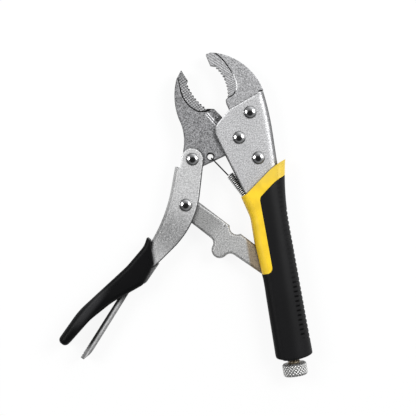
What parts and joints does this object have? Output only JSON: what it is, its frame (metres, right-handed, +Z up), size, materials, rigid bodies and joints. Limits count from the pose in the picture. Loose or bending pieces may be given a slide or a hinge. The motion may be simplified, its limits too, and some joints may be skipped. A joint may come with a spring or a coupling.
{
  "type": "locking pliers",
  "caption": "Locking pliers with curved serrated jaws, a toggle-locked moving handle, a release lever, an adjusting screw and soft grips, lying open.",
  "frame": {"origin": "on the surface that the grips lie on, under the adjusting screw's line, at the middle of the fixed grip's flat side", "axes": "+Y along the adjusting screw towards the jaws, +X towards the spine of the fixed handle, +Z up through the tool's thickness"},
  "size_m": [0.189, 0.2505, 0.021],
  "materials": {
    "sheet_steel": "satin nickel plated",
    "jaw_steel": "blasted, dark nickel plated",
    "link_steel": "satin nickel plated",
    "bright_steel": "polished",
    "spring_steel": "oiled wire",
    "yellow_plastic": "satin moulded",
    "black_rubber": "satin moulded",
    "black_vinyl": "dipped, soft sheen"
  },
  "bodies": {
    "frame": {"fixed_handle": "sheet_steel", "fixed_jaw": "jaw_steel", "jaw_rivet_upper": "bright_steel", "jaw_rivet_lower": "bright_steel", "jaw_pivot_rivet": "bright_steel", "fixed_grip_core": "yellow_plastic", "fixed_grip_cover": "black_rubber", "return_spring": "spring_steel"},
    "jaw": {"moving_jaw": "jaw_steel"},
    "handle": {"moving_handle": "sheet_steel", "handle_pivot_rivet": "bright_steel", "link_pivot_rivet": "bright_steel", "release_lever_pin": "bright_steel", "moving_grip": "black_vinyl"},
    "link": {"toggle_link": "link_steel"},
    "lever": {"release_lever": "sheet_steel"},
    "adjuster": {"adjusting_screw": "bright_steel"}
  },
  "joints": [
    {"name": "jaw_close", "type": "hinge", "parent": "frame", "child": "jaw", "pos_m": [-0.0142, 0.1047, 0.0105], "axis": [0, 0, 1], "range_deg": [-18.4, 0], "deforming": ["return_spring"]},
    {"name": "handle_squeeze", "type": "hinge", "parent": "jaw", "child": "handle", "pos_m": [-0.0513, 0.0943, 0.0105], "axis": [0, 0, 1], "range_deg": [0, 51.4], "stiffness_Nm_per_rad": 0.4, "springref_deg": -17.19},
    {"name": "link_swing", "type": "hinge", "parent": "handle", "child": "link", "pos_m": [-0.0618, 0.0611, 0.0105], "axis": [0, 0, 1], "range_deg": [-46.5, 0]},
    {"name": "lever_press", "type": "hinge", "parent": "handle", "child": "lever", "pos_m": [-0.102, 0.0172, 0.0105], "axis": [0, 0, -1], "range_deg": [-3, 8]},
    {"name": "screw_out", "type": "slide", "parent": "frame", "child": "adjuster", "axis": [0, -1, 0], "range_m": [0, 0.016]}
  ],
  "couplings": [
    {"joint": "jaw_close", "follows": "handle_squeeze", "ratio": -0.35798},
    {"joint": "link_swing", "follows": "handle_squeeze", "ratio": -0.90467}
  ]
}
